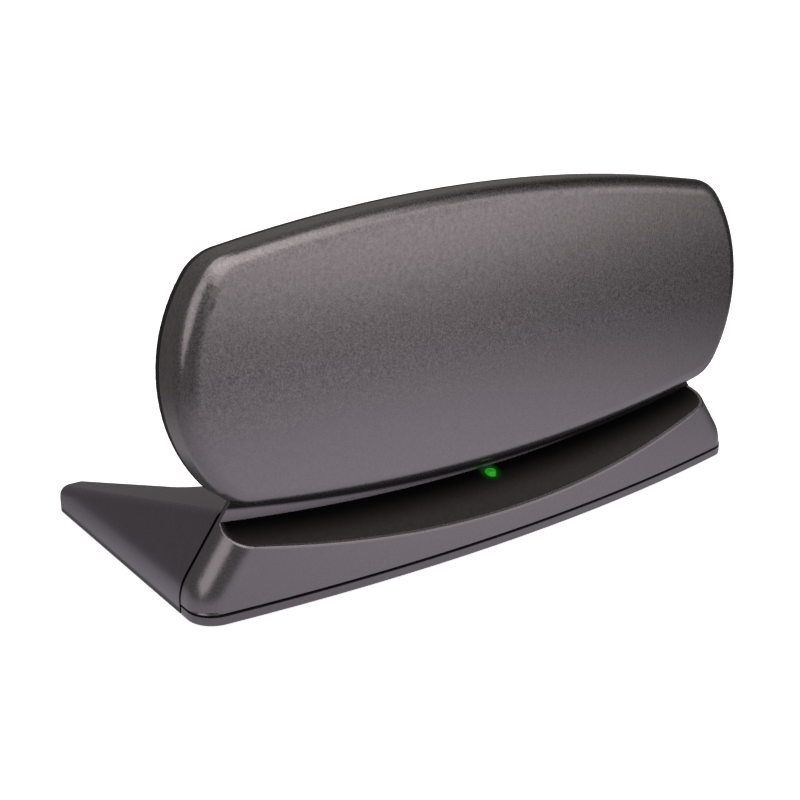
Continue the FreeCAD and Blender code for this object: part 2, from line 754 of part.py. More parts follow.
def base_front_shell(panel_space, trough_space):
    """Front wall, end pillars and the lip under the panel, with a rebate that seats the trough liner."""
    outer = front_blank("front_form", "0", SEAM, "plate_thickness + plate_groove")
    inner = front_blank("front_hollow", "shell_wall", LIP_FACE, "0")
    shell = combine("Cut", "front_walls", outer, inner)
    shell = combine("Cut", "front_rim", shell, trough_space)
    shell = round_rim(shell, outer)
    rebate = combine("Common", "rebate_band", front_blank("rebate_form", "rim_width", LIP_FACE, "0"),
                     ramp_space("rebate_space", "liner_thickness + fit_gap"))
    shell = combine("Cut", "front_rebate", shell, rebate)
    shell = combine("Cut", "front_seat", shell, panel_space)
    window = new_body("lip_window")
    opening = new_sketch(window, "opening", "XY")
    half = "(amplifier_width / 2 + window_side_gap)"
    rectangle(opening, f"-{half}", f"{LIP_FACE} - lip_thickness", half, f"{SEAM} + lip_thickness")
    pad(opening, "window_height")
    shell = combine("Cut", "front_window", shell, window)
    column = pegs("front_boss_columns", FRONT_SCREWS, "boss_diameter", "plate_thickness",
                  "front_boss_height")
    bosses = combine("Common", "front_bosses", outer, column)
    feet = pegs("front_boss_feet", FRONT_SCREWS, "boss_diameter", "plate_thickness", "side_height")
    shell = combine("Fuse", "front_bossed", shell, bosses, feet)
    pilots = pegs("front_pilots", FRONT_SCREWS, "screw_diameter", "0", SCREW_TIP)
    return combine("Cut", "base_front_shell", shell, pilots)


def base_rear_shell(panel_space, panel_wall_space):
    """Wedge-shaped rear shell with two legs, a seat for the panel and the neck behind it."""
    outer = rear_blank("rear_form", "0", REAR_START, "0")
    finish_rear_form(outer)
    inner = rear_blank("rear_hollow", "shell_wall", f"({SEAM} - lip_thickness)", "-plate_thickness")
    seated = combine("Cut", "rear_seat", outer, panel_space)
    support = neck("neck_form", "0", "neck_width", BOARD_TOP)
    round_neck(support)
    raised = combine("Fuse", "rear_raised", seated, support)
    lowered = combine("Cut", "rear_hollow_seat", inner, panel_wall_space)
    bore = neck("neck_bore", "shell_wall", "neck_bore_width", BOARD_TOP)
    shell = combine("Cut", "rear_walls", raised, combine("Fuse", "rear_space", lowered, bore))
    column = pegs("rear_boss_columns", LEG_SCREWS + CENTRE_SCREWS, "boss_diameter", "plate_thickness",
                  NECK_TOP)
    shell = combine("Fuse", "rear_bossed", shell, combine("Common", "rear_bosses", outer, column))
    pilots = pegs("rear_pilots", LEG_SCREWS + CENTRE_SCREWS, "screw_diameter", "0", SCREW_TIP)
    holes = new_body("connector_hole")
    pad(circles(front_sketch(holes, "round", NOTCH_FLOOR), [("0", CONNECTOR_AXIS)],
                "collar_diameter + 2 * hole_gap"), "4 * shell_wall", both=True)
    mounts = new_panel_body("neck_holes")
    mounts.AllowCompound = True
    pad(circles(front_sketch(mounts, "pilots", PANEL_DEPTH), MOUNT_SCREWS, "screw_diameter"),
        "screw_length - rear_cover_thickness + hole_gap", back=True)
    pad(circles(front_sketch(mounts, "lead", PANEL_DEPTH), [("0", MOUNT_RISE)],
                "lead_diameter + 2 * lead_gap"), "neck_depth / 2", back=True)
    cuts = combine("Fuse", "rear_holes", pilots, holes, mounts)
    return combine("Cut", "base_rear_shell", shell, cuts)


def finish_rear_form(body):
    """Round the leg tips and the folds of the wedge."""
    end = value(REAR)
    soften(body, "tips", lambda edge, box: box.YMin > end - CLOSE and box.ZLength > SHORT, "leg_tip_radius")
    fall = value(WEDGE_FALL)
    level = value(f"ridge_height + {WEDGE_FALL} * {SEAM}")
    front = value(REAR_START)

    def on_wedge(edge, box):
        spots = [edge.valueAt(edge.getParameterByLength(edge.Length * share)) for share in (0, 0.5, 1)]
        return box.YMax > front + CLOSE and all(abs(p.z + fall * p.y - level) < CLOSE for p in spots)

    soften(body, "folds", on_wedge, "fold_radius")


def trough_liner(trough_space):
    """Dark sloping sheet that fills the mouth between the front rim and the lip."""
    form = front_blank("liner_form", "rim_width + fit_gap", f"({LIP_FACE} - fit_gap)", "0")
    sheet_form = combine("Common", "liner_band", form, ramp_space("liner_space", "liner_thickness"))
    sheet_form = combine("Cut", "liner_sheet", sheet_form, trough_space)
    hole = pegs("light_hole", [("0", LIGHT_PLACE)], "light_diameter + 2 * hole_gap", "0", NECK_TOP)
    return combine("Cut", "trough_liner", sheet_form, hole)


BOARD_HOLES = [
    (f"{side}(amplifier_width / 2 - amplifier_hole_inset)", y) for side in ("", "-")
    for y in (f"({BOARD_FRONT} + amplifier_hole_inset)",
              f"({BOARD_REAR} - amplifier_hole_inset)")
]
FRONT_FEET = mirrored(f"({HALF_WIDTH} - front_foot_inset)", f"({FRONT} + front_foot_setback)")
REAR_FEET = mirrored(f"({HALF_WIDTH} - rear_foot_inset)", f"({REAR} - rear_foot_forward)")
FEET = FRONT_FEET + REAR_FEET


def base_plate():
    """Bottom plate: its front edge shows under the front shell, the rest lies inside the rear shell."""
    body = new_body("base_plate")
    sketch = new_sketch(body, "outline", "XY")
    bow_end = f"({FRONT} + front_bow)"
    step = f"({SEAM} - fit_gap)"
    inside = f"({HALF_WIDTH} - {PLATE_INSET})"
    tip = f"({REAR} - {PLATE_INSET})"
    floor_half, floor, tip_half = notch_places(PLATE_INSET, tip)
    half = [(HALF_WIDTH, bow_end), (HALF_WIDTH, step), (inside, step), (inside, tip), (tip_half, tip),
            (floor_half, floor)]
    outline(sketch, half + [(f"-({x})", y) for x, y in reversed(half)],
            {2 * len(half) - 1: BOW_RADIUS})
    pad(sketch, "plate_thickness")
    front = value(bow_end)
    soften(body, "front_corners", lambda edge, box: upright(edge, box) and abs(box.YMin - front) < CLOSE,
           "front_corner_radius")
    low = value(floor)
    soften(body, "notch_corners", lambda edge, box: upright(edge, box) and abs(box.YMin - low) < CLOSE,
           f"notch_corner_radius + {PLATE_INSET}")
    end = value(tip)
    soften(body, "tips", lambda edge, box: upright(edge, box) and box.YMin > end - CLOSE,
           f"leg_tip_radius - {PLATE_INSET}")
    top = new_sketch(body, "standoffs", "XY", "plate_thickness")
    pad(circles(top, BOARD_HOLES, "standoff_diameter"), "standoff_height")
    pilots = new_sketch(body, "standoff_pilots", "XY", BOARD_SEAT)
    pocket(circles(pilots, BOARD_HOLES, "screw_diameter"), "small_screw_length - board_thickness")
    recesses = new_sketch(body, "foot_recesses", "XY")
    circles(recesses, FEET, "foot_diameter + 2 * hole_gap")
    pocket(recesses, "foot_thickness - foot_stand", back=True)
    holes = new_sketch(body, "screw_holes", "XY")
    places = FRONT_SCREWS + LEG_SCREWS + CENTRE_SCREWS
    pocket(circles(holes, places, "screw_diameter + 2 * hole_gap"), "plate_thickness", back=True)
    spots = [Vector(value(x), value(y), 0) for x, y in places]

    def hole_rim(edge, box):
        middle = Vector(box.Center.x, box.Center.y, 0)
        return box.ZMax < CLOSE and min((middle - spot).Length for spot in spots) < CLOSE

    soften(body, "countersinks", hole_rim, "(screw_head_diameter - screw_diameter) / 2 - hole_gap / 2",
           "Chamfer")
    return body


def foot(label, place):
    """Rubber pad in a recess of the plate, standing a little proud."""
    body = new_body(label, "0")
    pad(circles(new_sketch(body, "round", "XY"), [place], "foot_diameter"), "foot_thickness")
    soften(body, "edge", lambda edge, box: box.ZMax < CLOSE, "foot_edge_radius")
    return body


# Base contents

def amplifier_board():
    """Board on the plate's standoffs, from under the trough to the connector."""
    body = new_body("amplifier_board")
    sketch = new_sketch(body, "board", "XY", BOARD_SEAT)
    rectangle(sketch, "-amplifier_width / 2", BOARD_FRONT, "amplifier_width / 2", BOARD_REAR)
    circles(sketch, BOARD_HOLES, "screw_diameter + 2 * hole_gap")
    pad(sketch, "board_thickness")
    return body


def shield_can():
    """Folded metal can over the amplifier, open towards the board."""
    body = new_body("shield_can")
    front = f"(({BOARD_FRONT} + {BOARD_REAR} - can_depth) / 2)"
    left = "(can_offset - can_width / 2)"
    block = new_sketch(body, "block", "XY", BOARD_TOP)
    rectangle(block, left, front, f"{left} + can_width", f"{front} + can_depth")
    pad(block, "can_height")
    hollow = new_sketch(body, "hollow", "XY", BOARD_TOP)
    rectangle(hollow, f"{left} + can_wall", f"{front} + can_wall", f"{left} + can_width - can_wall",
              f"{front} + can_depth - can_wall")
    pocket(hollow, "can_height - can_wall", back=True)
    return body


def status_diode():
    """Round diode with a domed end, on the board under the light window."""
    body = new_body("status_diode")
    pad(circles(new_sketch(body, "round", "XY", BOARD_TOP), [("0", LIGHT_PLACE)], "diode_diameter"),
        "diode_height")
    top = value(f"{BOARD_TOP} + diode_height")
    soften(body, "dome", lambda edge, box: box.ZMin > top - CLOSE, "diode_diameter / 2 - fit_gap")
    return body


def light_window():
    """Clear rod that carries the diode's light up through the liner, with a domed top."""
    body = new_body("light_window")
    low = f"({BOARD_TOP} + diode_height + fit_gap)"
    high = "(ramp_height - light_setback * tan(ramp_slope) + light_rise)"
    pad(circles(new_sketch(body, "round", "XY", low), [("0", LIGHT_PLACE)], "light_diameter"),
        f"{high} - {low}")
    top = value(high)
    soften(body, "dome", lambda edge, box: box.ZMin > top - CLOSE, "light_rise")
    return body


COLLAR_END = f"({NOTCH_FLOOR} + washer_thickness + nut_thickness + collar_proud)"
BARREL_START = f"({COLLAR_END} + relief_width)"
BARREL_END = f"({BARREL_START} + barrel_length)"
BORE_FLOOR = f"({BARREL_END} - barrel_bore_depth)"


def connector_piece(label, start, depth, diameter, bore=None, bore_depth=None):
    """A round piece on the connector's axis from depth start, with a bore from its rear end."""
    body = new_body(label)
    axis = [("0", CONNECTOR_AXIS)]
    pad(circles(front_sketch(body, "round", start), axis, diameter), depth, back=True)
    if bore:
        cut = front_sketch(body, "bore", f"({start} + {depth} - {bore_depth})")
        pocket(circles(cut, axis, bore), bore_depth)
    return body


def connector_body():
    """Plated connector: a block on the board, a collar through the rear wall and the aerial barrel."""
    body = new_body("f_connector_body")
    block = front_sketch(body, "block", f"({CONNECTOR_WALL} - connector_block_depth)")
    half = "connector_block / 2"
    rectangle(block, f"-{half}", BOARD_TOP, half, f"{BOARD_TOP} + connector_block")
    pad(block, "connector_block_depth", back=True)
    axis = [("0", CONNECTOR_AXIS)]
    for name, diameter, start, end in (("core", "relief_diameter", CONNECTOR_WALL, BARREL_END),
                                       ("collar", "collar_diameter", CONNECTOR_WALL, COLLAR_END),
                                       ("barrel", "barrel_diameter", BARREL_START, BARREL_END)):
        pad(circles(front_sketch(body, name, start), axis, diameter), f"{end} - {start}", back=True)
    pocket(circles(front_sketch(body, "bore", BORE_FLOOR), axis, "barrel_bore"), "barrel_bore_depth")
    return body


def connector_nut():
    """Hexagon nut that clamps the connector to the rear wall."""
    body = new_body("f_connector_nut")
    sketch = front_sketch(body, "hexagon", f"({NOTCH_FLOOR} + washer_thickness)")
    corners = []
    for turn in range(6):
        reach = "nut_width / 2 / cos(30)"
        corners.append((f"{reach} * cos({60 * turn})", f"{CONNECTOR_AXIS} + {reach} * sin({60 * turn})"))
    outline(sketch, corners)
    circles(sketch, [("0", CONNECTOR_AXIS)], "collar_diameter + 2 * fit_gap")
    pad(sketch, "nut_thickness", back=True)
    return body


def coaxial_lead():
    """Lead from the amplifier up through the neck, forward into the panel and up to the feed board."""
    bend = value("lead_bend")
    radius = value("lead_diameter / 2")
    in_panel = f"{FEED_BACK} + lead_diameter / 2 + fit_gap"
    turn_low = panel_place("0", f"{PANEL_DEPTH} + seat_gap + neck_depth / 2", MOUNT_RISE, 0).Base
    turn_high = panel_place("0", in_panel, MOUNT_RISE, 0).Base
    end = panel_place("0", in_panel, "lead_end_rise - feed_board_height / 2", 0).Base
    start = Vector(0, turn_low.y, value(f"foot_stand + {BOARD_TOP}"))
    corners = [start, turn_low, turn_high, end]
    edges = []
    here = start
    for before, corner, after in zip(corners, corners[1:], corners[2:]):
        way_in = (corner - before).normalize()
        way_out = (after - corner).normalize()
        half_turn = way_in.getAngle(way_out) / 2
        trim = bend * math.tan(half_turn)
        first, last = corner - way_in * trim, corner + way_out * trim
        inward = (way_out - way_in).normalize()
        middle = corner + inward * (bend / math.cos(half_turn) - bend)
        edges.append(Part.LineSegment(here, first).toShape())
        edges.append(Part.Arc(first, middle, last).toShape())
        here = last
    edges.append(Part.LineSegment(here, end).toShape())
    path = Part.Wire(edges)
    ring = Part.Wire(Part.makeCircle(radius, start, Vector(0, 0, 1)))
    lead = document.addObject("Part::Feature", "coaxial_lead")
    lead.Shape = path.makePipeShell([ring], True, False)
    section = math.pi * radius ** 2
    print("lead volume over section times length", round(lead.Shape.Volume / section / path.Length, 4))
    return lead


def build():
    """Make every piece and keep it as a node."""
    panel_space = barrel_blank("panel_space", "-seat_gap", f"{PANEL_DEPTH} + seat_gap")
    wall_gap = "(seat_gap + shell_wall)"
    panel_wall_space = barrel_blank("panel_wall_space", f"-{wall_gap}", f"{PANEL_DEPTH} + {wall_gap}")
    trough_space = ramp_space("trough_space", "0")
    node("panel_front_cover", panel_front_cover())
    node("panel_rear_cover", panel_rear_cover())
    node("left_radiator", radiator("left_radiator", "-"))
    node("right_radiator", radiator("right_radiator", ""))
    node("feed_board", feed_board())
    node("base_front_shell", base_front_shell(panel_space, trough_space))
    node("base_rear_shell", base_rear_shell(panel_space, panel_wall_space))
    node("trough_liner", trough_liner(trough_space))
    node("base_plate", base_plate())
    for name, place in zip(("front_right", "front_left", "rear_right", "rear_left"), FEET):
        node(name + "_foot", foot(name + "_foot", place))
    node("amplifier_board", amplifier_board())
    node("shield_can", shield_can())
    node("status_diode", status_diode())
    node("light_window", light_window())
    node("f_connector_body", connector_body())
    insulator = connector_piece("f_connector_insulator", BORE_FLOOR, "insulator_depth",
                                "barrel_bore - 2 * fit_gap", "contact_diameter + 2 * fit_gap",
                                "insulator_depth")
    node("f_connector_insulator", insulator)
    node("f_connector_contact", connector_piece("f_connector_contact", BORE_FLOOR, "insulator_depth",
                                                "contact_diameter", "contact_bore",
                                                "insulator_depth / 2"))
    node("f_connector_washer", connector_piece("f_connector_washer", NOTCH_FLOOR, "washer_thickness",
                                               "washer_diameter", "collar_diameter + 2 * fit_gap",
                                               "washer_thickness"))
    node("f_connector_nut", connector_nut())
    node("coaxial_lead", coaxial_lead())
    place_screws()


def place_screws():
    """The four kinds of screws, each as one group."""
    flush = screw("flush_screw", "screw_length", True)
    round_head = screw("round_head_screw", "screw_length", False)
    small = screw("small_screw", "small_screw_length", False)
    covers = [panel_place(x, PANEL_DEPTH, z, -90) for x, z in COVER_SCREWS]
    node("panel_cover_screws", screw_group("panel_cover_screws", flush, covers))
    mounts = [panel_place(x, "front_cover_depth", z, 90) for x, z in MOUNT_SCREWS]
    node("panel_mount_screws", screw_group("panel_mount_screws", round_head, mounts))
    feeds = [panel_place(x, FEED_BACK, z, -90) for x, z in FEED_SCREWS]
    node("feed_board_screws", screw_group("feed_board_screws", small, feeds))
    over = Rotation(Vector(1, 0, 0), 180)
    bases = [Placement(Vector(value(x), value(y), value("foot_stand")), over)
             for x, y in FRONT_SCREWS + LEG_SCREWS + CENTRE_SCREWS]
    node("base_screws", screw_group("base_screws", flush, bases))
    boards = [Placement(Vector(value(x), value(y), value(f"foot_stand + {BOARD_TOP}")), Rotation())
              for x, y in BOARD_HOLES]
    node("board_screws", screw_group("board_screws", small, boards))


def check_and_write():
    """Stop if any object failed; then write one file for each piece."""
    document.recompute()
    for thing in document.Objects:
        if "Invalid" in thing.State or "Error" in thing.State:
            raise RuntimeError(thing.Name + " failed: " + str(thing.State))
    for piece in nodes:
        if piece.Shape.isNull() or not piece.Shape.isValid() or not piece.Shape.Solids:
            raise RuntimeError(piece.Label + " is not a sound solid")
    os.makedirs("parts", exist_ok=True)
    for piece in nodes:
        piece.Shape.exportStep(os.path.join("parts", piece.Label + ".step"))
        print(piece.Label, len(piece.Shape.Solids), round(piece.Shape.Volume))


build()
check_and_write()
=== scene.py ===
# %% [markdown]
# # An indoor UHF television antenna
#
# The antenna is a flat barrel-shaped panel that leans back in a low base. Its skin is a satin
# gunmetal paint with a fine grain, its trough is nearly black, and a green light glows under the
# panel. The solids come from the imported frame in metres, with +X across the width, +Y to the rear
# and +Z up, so every new piece here is worked out in that same frame.

import json
import math

import bmesh
import bpy
import numpy as np
from mathutils import Matrix, Vector


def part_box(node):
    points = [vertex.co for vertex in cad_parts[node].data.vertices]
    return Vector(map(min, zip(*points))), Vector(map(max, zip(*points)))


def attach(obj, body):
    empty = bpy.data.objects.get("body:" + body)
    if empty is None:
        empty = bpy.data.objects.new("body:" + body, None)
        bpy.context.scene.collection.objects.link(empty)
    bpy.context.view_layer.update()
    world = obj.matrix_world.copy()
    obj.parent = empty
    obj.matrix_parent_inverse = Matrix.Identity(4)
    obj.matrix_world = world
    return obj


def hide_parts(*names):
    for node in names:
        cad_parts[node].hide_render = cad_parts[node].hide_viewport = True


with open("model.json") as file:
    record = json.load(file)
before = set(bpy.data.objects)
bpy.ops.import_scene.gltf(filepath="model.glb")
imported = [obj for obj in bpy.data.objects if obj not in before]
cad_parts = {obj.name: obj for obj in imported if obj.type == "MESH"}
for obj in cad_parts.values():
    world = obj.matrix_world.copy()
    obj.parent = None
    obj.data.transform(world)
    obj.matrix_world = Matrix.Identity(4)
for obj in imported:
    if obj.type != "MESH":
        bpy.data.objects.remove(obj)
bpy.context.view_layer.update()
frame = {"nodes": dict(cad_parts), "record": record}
nodes = frame["nodes"]
record = frame["record"]

# %% [markdown]
# ## The viewpoint
#
# A product picture is easiest to match when the camera stands where the photographer stood. The
# panel's outline gives the place: its ends, its tilt and its perspective fix the distance, the
# direction and the focal length together. The camera stands to the left and above, and looks down
# by a little less than twenty degrees. A Track To constraint could aim it, but two angles say the
# same and need no target.

# %% Camera
MM = 0.001
CAMERA_PLACE = Vector((-278.8, -361.8, 200.3)) * MM
CAMERA_TURN = math.radians(36.74)
CAMERA_DIP = math.radians(19.87)
CAMERA_LENS = 56.04
SENSOR_WIDTH = 36.0
NEAREST_SEEN = 0.01

view_way = Vector((math.sin(CAMERA_TURN) * math.cos(CAMERA_DIP),
                   math.cos(CAMERA_TURN) * math.cos(CAMERA_DIP),
                   -math.sin(CAMERA_DIP)))
camera_data = bpy.data.cameras.new("viewpoint")
camera_data.lens = CAMERA_LENS
camera_data.sensor_width = SENSOR_WIDTH
camera_data.clip_start = NEAREST_SEEN
camera = bpy.data.objects.new("viewpoint", camera_data)
camera.location = CAMERA_PLACE
camera.rotation_euler = view_way.to_track_quat("-Z", "Y").to_euler()
bpy.context.scene.collection.objects.link(camera)
bpy.context.scene.camera = camera
print("camera at", tuple(round(c, 4) for c in CAMERA_PLACE))

# %% [markdown]
# ## Helpers
#
# Pieces are made from whole arrays of points, and finishes from a handful of nodes that come back
# in each of them, so both get their helpers first. A node tree could be clicked together by hand, but
# a helper that adds one node and returns its socket lets a tree read like a formula.

# %% Helpers that make a surface from points worked out in one go
def link_mesh(name, points, faces):
    """Mesh object from an array of points (n, 3) and an array of faces (m, 3 or 4)."""
    mesh = bpy.data.meshes.new(name)
    mesh.from_pydata(np.asarray(points, float).tolist(), [], np.asarray(faces, int).tolist())
    mesh.validate()
    piece = bpy.data.objects.new(name, mesh)
    bpy.context.scene.collection.objects.link(piece)
    return piece


def grid_faces(rows, columns, wrap_columns=False):
    """Quads between neighbours of a rows by columns grid, numbered row by row."""
    down = np.arange(rows - 1)
    along = np.arange(columns if wrap_columns else columns - 1)
    first, second = np.meshgrid(down, along, indexing="ij")
    right = (second + 1) % columns
    corners = (first * columns + second, first * columns + right,
               (first + 1) * columns + right, (first + 1) * columns + second)
    return np.stack(corners, -1).reshape(-1, 4)


print("surface helpers ready")


# %% Helpers that add nodes
def calculate(tree, operation, first, second):
    """Result of a Math node; each input is a number or a socket."""
    node = tree.nodes.new("ShaderNodeMath")
    node.operation = operation
    for number, source in enumerate((first, second)):
        if isinstance(source, (int, float)):
            node.inputs[number].default_value = source
        else:
            tree.links.new(source, node.inputs[number])
    return node.outputs["Value"]


def spread(tree, source, low, high, start=0.3, end=0.7, smooth=False):
    """A number that runs from low to high while the source runs from start to end."""
    node = tree.nodes.new("ShaderNodeMapRange")
    node.interpolation_type = "SMOOTHSTEP" if smooth else "LINEAR"
    for name, number in (("From Min", start), ("From Max", end), ("To Min", low), ("To Max", high)):
        node.inputs[name].default_value = number
    tree.links.new(source, node.inputs["Value"])
    return node.outputs["Result"]


def measure(tree, operation, source, point):
    """Distance or dot product between a vector socket and a fixed point."""
    node = tree.nodes.new("ShaderNodeVectorMath")
    node.operation = operation
    tree.links.new(source, node.inputs[0])
    node.inputs[1].default_value = point
    return node.outputs["Value"]


def object_place(tree, stretch=(1, 1, 1)):
    """The point's place in Object coordinates, the part's own metres, times a stretch per axis."""
    node = tree.nodes.new("ShaderNodeMapping")
    node.inputs["Scale"].default_value = stretch
    tree.links.new(tree.nodes.new("ShaderNodeTexCoord").outputs["Object"], node.inputs["Vector"])
    return node.outputs["Vector"]


def axis_value(tree, axis):
    """One of the point's three Object coordinates."""
    split = tree.nodes.new("ShaderNodeSeparateXYZ")
    tree.links.new(object_place(tree), split.inputs[0])
    return split.outputs[axis]


def facing_way(tree, way):
    """How squarely the surface faces a direction: 1 straight at it, 0 across it."""
    return measure(tree, "DOT_PRODUCT", tree.nodes.new("ShaderNodeNewGeometry").outputs["Normal"], way)


def blend_colours(tree, factor, first, second):
    """Colour between two colours, or sockets, by a factor socket."""
    node = tree.nodes.new("ShaderNodeMix")
    node.data_type = "RGBA"
    tree.links.new(factor, node.inputs["Factor"])
    for name, colour in (("A", first), ("B", second)):
        socket = [s for s in node.inputs if s.name == name and s.type == "RGBA"][0]
        if isinstance(colour, tuple):
            socket.default_value = (*colour, 1)
        else:
            tree.links.new(colour, socket)
    return [s for s in node.outputs if s.type == "RGBA"][0]


def mix_shaders(tree, factor, first, second):
    """Mix Shader node between two shader nodes: the first at a factor of 0, the second at 1."""
    node = tree.nodes.new("ShaderNodeMixShader")
    tree.links.new(factor, node.inputs["Fac"])
    tree.links.new(first.outputs[0], node.inputs[1])
    tree.links.new(second.outputs[0], node.inputs[2])
    return node


print("node helpers ready")

# %% [markdown]
# ## The floor
#
# The antenna stands on a white table before a white background. A floor that is only lit turns grey
# towards the horizon, and one that only glows carries no shadow, so this one does a little of both:
# to the camera it is plain white with a faint contact shadow.
#
# Satin paint looks like what stands around it, and an endless white plain would wash it out. So every
# ray but the camera's finds a bright table that fades out half a metre away, with a shadow to the
# right of the antenna. A Light Path node tells the two kinds of ray apart.

# %% Floor
FLOOR_REACH, FLOOR_STEPS = 9.0, 3
FLOOR_WHITE, FLOOR_ROUGHNESS, FLOOR_GLOW = (0.8, 0.8, 0.8, 1), 0.8, 0.8
TABLE_CENTRE, TABLE_STRETCH, TABLE_OUTER = (0.01, -0.14, 0.0), (1, 1.35, 1), 0.50
TABLE_TINT, TABLE_GLOW = (0.985, 0.965, 1.02, 1), 0.92
SHADOW_CENTRE, SHADOW_INNER, SHADOW_OUTER = (0.21, 0.02, 0.0), 0.05, 0.14

side = np.linspace(-FLOOR_REACH, FLOOR_REACH, FLOOR_STEPS)
floor_x, floor_y = np.meshgrid(side, side)
floor = link_mesh("floor", np.stack([floor_x, floor_y, np.zeros_like(floor_x)], -1).reshape(-1, 3),
                  grid_faces(FLOOR_STEPS, FLOOR_STEPS))

floor_finish = bpy.data.materials.new("white_table")
floor_finish.use_nodes = True
tree = floor_finish.node_tree
white = tree.nodes["Principled BSDF"]
white.inputs["Base Color"].default_value = FLOOR_WHITE
white.inputs["Roughness"].default_value = FLOOR_ROUGHNESS
white.inputs["Emission Color"].default_value = (1, 1, 1, 1)
white.inputs["Emission Strength"].default_value = FLOOR_GLOW
glow = tree.nodes.new("ShaderNodeEmission")
glow.inputs["Color"].default_value = TABLE_TINT
glow.inputs["Strength"].default_value = TABLE_GLOW
away = measure(tree, "DISTANCE", object_place(tree, TABLE_STRETCH),
               tuple(c * s for c, s in zip(TABLE_CENTRE, TABLE_STRETCH)))
beside = measure(tree, "DISTANCE", object_place(tree), SHADOW_CENTRE)
fade = calculate(tree, "MAXIMUM", spread(tree, away, 0, 1, 0, TABLE_OUTER, smooth=True),
                 spread(tree, beside, 1, 0, SHADOW_INNER, SHADOW_OUTER, smooth=True))
faded = mix_shaders(tree, fade, glow, tree.nodes.new("ShaderNodeBsdfTransparent"))
seen = mix_shaders(tree, tree.nodes.new("ShaderNodeLightPath").outputs["Is Camera Ray"], faded, white)
tree.links.new(seen.outputs[0], tree.nodes["Material Output"].inputs["Surface"])
floor.data.materials.append(floor_finish)
print("floor of", 2 * FLOOR_REACH, "metres, table of", 2 * TABLE_OUTER)

# %% [markdown]
# ## The room
#
# The panel's face shows a blurred image of the room: lighter at its top, darker in its middle and
# lighter again towards the table. Many lamps could draw that image, but each has a hard edge. A world
# shader can have borders as soft as they need to be, so the room is worked out from the direction of
# each ray: a dim ground tone, a bright wall to the right front whose lower edge crosses the face, and
# a large light overhead.
#
# Dark cards, as photographers use them, take light away: three to the right draw the panel's dark
# right end and the dark line behind its top edge, and a weak one at the left front keeps the
# highlight along that edge narrow. The camera itself sees plain white.

# %% Dome
WARM = (1.0, 0.975, 0.94)
DIM, WALL_GLOW, TOP_GLOW = 0.195, 1.78, 1.90
# Each edge of the wall: a normal, and the dots with it where the wall begins and where it is full.
WALL_EDGES = (((0.72, -0.04, 0.69), 0.16, 0.40), ((-0.47, -0.88, 0), -0.04, 0.14),
              ((-0.15, 0, 0.99), -0.262, -0.065))
TOP_WAY, TOP_INNER, TOP_OUTER = (0.02, -0.17, 0.98), 24, 35
# Each card: its direction, the angles where it is full and where it ends, and the share it takes.
DARK_CARDS = (((0.92, -0.40, -0.10), 10, 28, 0.93), ((0.97, 0.17, 0.17), 12, 42, 0.55),
              ((0.74, 0.20, 0.64), 8, 22, 0.95), ((0.40, -0.80, 0.42), 16, 30, 0.43))

dome = bpy.data.worlds.new("dome")
bpy.context.scene.world = dome
dome.use_nodes = True
dome_tree = dome.node_tree
ray_way = dome_tree.nodes.new("ShaderNodeTexCoord").outputs["Generated"]


def border(normal, start, end):
    """Rises from 0 to 1 across a circle of the dome, as the ray's dot with the normal rises."""
    across = measure(dome_tree, "DOT_PRODUCT", ray_way, Vector(normal).normalized())
    return spread(dome_tree, across, 0, 1, start, end, smooth=True)


def patch(direction, inner, outer):
    """Soft round patch of the dome: 1 within the inner angle in degrees, 0 past the outer."""
    return border(direction, math.cos(math.radians(outer)), math.cos(math.radians(inner)))


wall = WALL_GLOW
for edge in WALL_EDGES:
    wall = calculate(dome_tree, "MULTIPLY", wall, border(*edge))
above = calculate(dome_tree, "MULTIPLY", patch(TOP_WAY, TOP_INNER, TOP_OUTER), TOP_GLOW)
room = calculate(dome_tree, "ADD", calculate(dome_tree, "MAXIMUM", wall, above), DIM)
for direction, inner, outer, share in DARK_CARDS:
    card = calculate(dome_tree, "MULTIPLY", patch(direction, inner, outer), share)
    room = calculate(dome_tree, "MULTIPLY", room, calculate(dome_tree, "SUBTRACT", 1, card))
camera_ray = dome_tree.nodes.new("ShaderNodeLightPath").outputs["Is Camera Ray"]
background = dome_tree.nodes["Background"]
dome_tree.links.new(calculate(dome_tree, "MAXIMUM", room, camera_ray), background.inputs["Strength"])
dome_tree.links.new(blend_colours(dome_tree, camera_ray, WARM, (1, 1, 1)), background.inputs["Color"])
print("dome of", DIM, "with a wall of", WALL_GLOW, "and a light of", TOP_GLOW)

# %% [markdown]
# ## Lamps
#
# Two things need a shape with straight sides, which a patch of the dome can't give. A long slanted
# lamp to the left draws the narrow highlight on the rounded left edges, and a small one above the
# rear is there for views from behind. A lamp's power changes with its size, so the helper asks for
# the brightness of its mirror image instead and works out the power.

# %% Lamps
CENTRE = Vector((0, -0.03, 0.06))


def softbox(name, way, upward, distance, width, height, brightness):
    """Rectangular light at a distance along a direction, its height along upward.

    A flat lamp of power P and area A has the radiance P / (pi A), so P = pi A times brightness.
    """
    data = bpy.data.lights.new(name, "AREA")
    data.shape = "RECTANGLE"
    data.size, data.size_y = width, height
    data.energy = math.pi * width * height * brightness
    data.color = WARM
    light = bpy.data.objects.new(name, data)
    back = Vector(way).normalized()
    across = Vector(upward).cross(back).normalized()
    light.location = CENTRE + back * distance
    light.rotation_euler = Matrix((across, back.cross(across), back)).transposed().to_euler()
    light.visible_camera = False
    bpy.context.scene.collection.objects.link(light)


softbox("left_box", way=(-0.83, -0.03, 0.55), upward=(0.19, 0.86, 0.70), distance=1.4,
        width=0.85, height=1.6, brightness=1.2)
softbox("upper_rear_box", way=(-0.2, 0.5, 0.85), upward=(0, 0, 1), distance=1.6,
        width=1.0, height=0.7, brightness=1.6)
